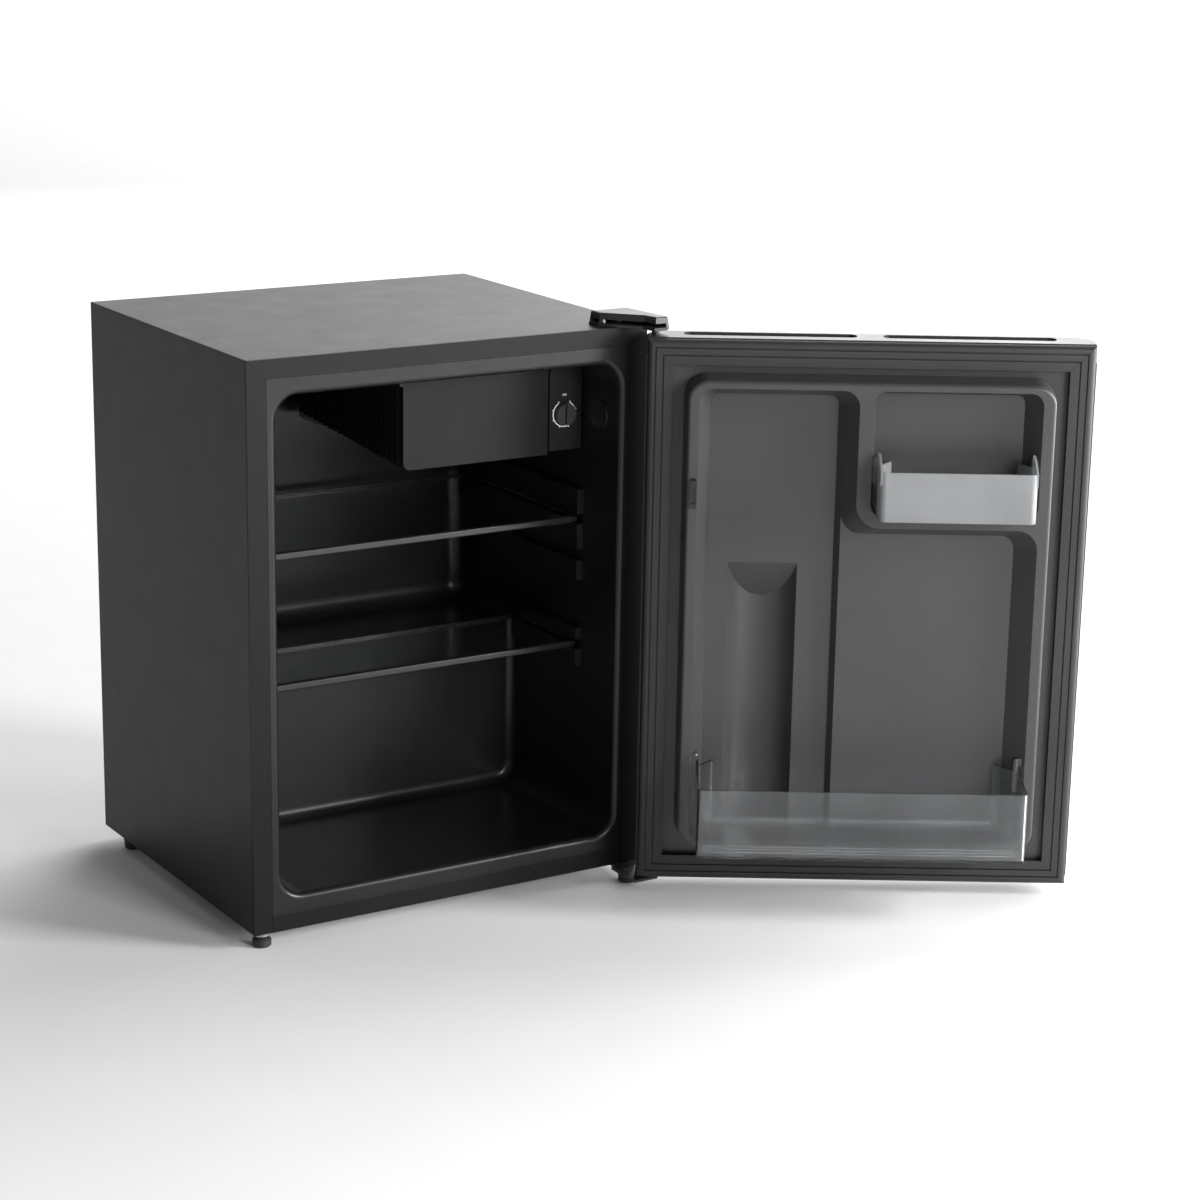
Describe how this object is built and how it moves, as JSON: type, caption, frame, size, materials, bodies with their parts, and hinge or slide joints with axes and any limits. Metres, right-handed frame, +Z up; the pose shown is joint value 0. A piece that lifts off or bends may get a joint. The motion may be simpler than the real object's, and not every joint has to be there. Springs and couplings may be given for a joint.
{
  "type": "mini fridge",
  "caption": "Compact refrigerator with a hinged door that has two clear baskets, a chiller box with a flap, glass shelves, a thermostat knob and a rear cooling circuit.",
  "frame": {"origin": "on the floor under the middle of the open model's bounding box", "axes": "+Z up, the closed door faces -Y, +X towards the hinge side"},
  "size_m": [0.863, 0.7654, 0.638],
  "materials": {
    "cabinet_paint": "satin",
    "door_paint": "satin",
    "liner_plastic": "satin",
    "door_liner_plastic": "satin",
    "gasket_rubber": "satin",
    "foam": "matte",
    "zinc_sheet": "satin",
    "back_paint": "matte",
    "hinge_steel": "satin",
    "screw_steel": "polished",
    "shelf_glass": "gloss",
    "trim_plastic": "satin",
    "evaporator_aluminium": "satin",
    "chiller_plastic": "satin",
    "housing_plastic": "satin",
    "knob_plastic": "satin",
    "thermostat_case": "satin",
    "cap_plastic": "satin",
    "foot_plastic": "matte",
    "compressor_paint": "gloss",
    "copper": "satin",
    "condenser_paint": "matte",
    "mount_rubber": "matte",
    "basket_plastic": "gloss"
  },
  "bodies": {
    "cabinet": {"outer_wrapper": "cabinet_paint", "inner_liner": "liner_plastic", "cabinet_foam": "foam", "back_panel": "back_paint", "bay_sheet": "zinc_sheet", "base_pan": "zinc_sheet", "front_sill": "cabinet_paint", "evaporator": "evaporator_aluminium", "evaporator_hangers": "housing_plastic", "chiller_side_cover": "chiller_plastic", "flap_lugs": "housing_plastic", "thermostat_housing": "housing_plastic", "thermostat": "thermostat_case", "wall_plug": "liner_plastic", "compressor": "compressor_paint", "compressor_grommets": "mount_rubber", "relay_cover": "housing_plastic", "drip_tray": "housing_plastic", "condenser_tube": "condenser_paint", "condenser_wires": "condenser_paint", "condenser_brackets": "housing_plastic", "filter_drier": "copper", "suction_pipe": "copper", "capillary_tube": "copper", "discharge_pipe": "copper", "liquid_line": "copper", "cord_gland": "mount_rubber", "gland_bracket": "zinc_sheet", "foot_nut": "zinc_sheet", "rear_feet": "foot_plastic", "lower_hinge_bracket": "hinge_steel", "upper_hinge_bracket": "hinge_steel", "hinge_screws": "screw_steel", "hinge_cover": "cap_plastic"},
    "door": {"door_skin": "door_paint", "door_top_cap": "cap_plastic", "door_bottom_cap": "cap_plastic", "door_foam": "foam", "hinge_bushes": "housing_plastic", "door_gasket": "gasket_rubber", "door_liner": "door_liner_plastic", "side_clip": "trim_plastic"},
    "upper_basket": {"upper_basket": "basket_plastic"},
    "lower_basket": {"lower_basket": "basket_plastic"},
    "chiller_flap": {"chiller_flap": "chiller_plastic"},
    "thermostat_knob": {"thermostat_knob": "knob_plastic"},
    "upper_shelf": {"upper_shelf_glass": "shelf_glass", "upper_shelf_front_trim": "trim_plastic", "upper_shelf_rear_trim": "trim_plastic"},
    "lower_shelf": {"lower_shelf_glass": "shelf_glass", "lower_shelf_front_trim": "trim_plastic", "lower_shelf_rear_trim": "trim_plastic"},
    "front_foot_left": {"front_foot_left": "foot_plastic"},
    "front_foot_right": {"front_foot_right": "foot_plastic"}
  },
  "joints": [
    {"name": "door_hinge", "type": "hinge", "parent": "cabinet", "child": "door", "pos_m": [0.03126, -0.05679, 0.318], "axis": [0, 0, 1], "range_deg": [-148, 0]},
    {"name": "chiller_flap_hinge", "type": "hinge", "parent": "cabinet", "child": "chiller_flap", "pos_m": [-0.13024, 0.03871, 0.574], "axis": [-1, 0, 0], "range_deg": [0, 85]},
    {"name": "thermostat_turn", "type": "hinge", "parent": "cabinet", "child": "thermostat_knob", "pos_m": [-0.01844, 0.04521, 0.519], "axis": [0, 1, 0], "range_deg": [0, 270]},
    {"name": "upper_shelf_slide", "type": "slide", "parent": "cabinet", "child": "upper_shelf", "axis": [0, -1, 0], "range_m": [0, 0.24]},
    {"name": "lower_shelf_slide", "type": "slide", "parent": "cabinet", "child": "lower_shelf", "axis": [0, -1, 0], "range_m": [0, 0.13]},
    {"name": "upper_basket_lift", "type": "slide", "parent": "door", "child": "upper_basket", "axis": [0, 0, 1], "range_m": [0, 0.05]},
    {"name": "lower_basket_lift", "type": "slide", "parent": "door", "child": "lower_basket", "axis": [0, 0, 1], "range_m": [0, 0.05]},
    {"name": "left_foot_turn", "type": "hinge", "parent": "cabinet", "child": "front_foot_left", "pos_m": [-0.41724, -0.01579, 0.008], "axis": [0, 0, 1], "continuous": true},
    {"name": "right_foot_turn", "type": "hinge", "parent": "cabinet", "child": "front_foot_right", "pos_m": [0.01976, -0.04079, 0.008], "axis": [0, 0, 1], "continuous": true}
  ]
}
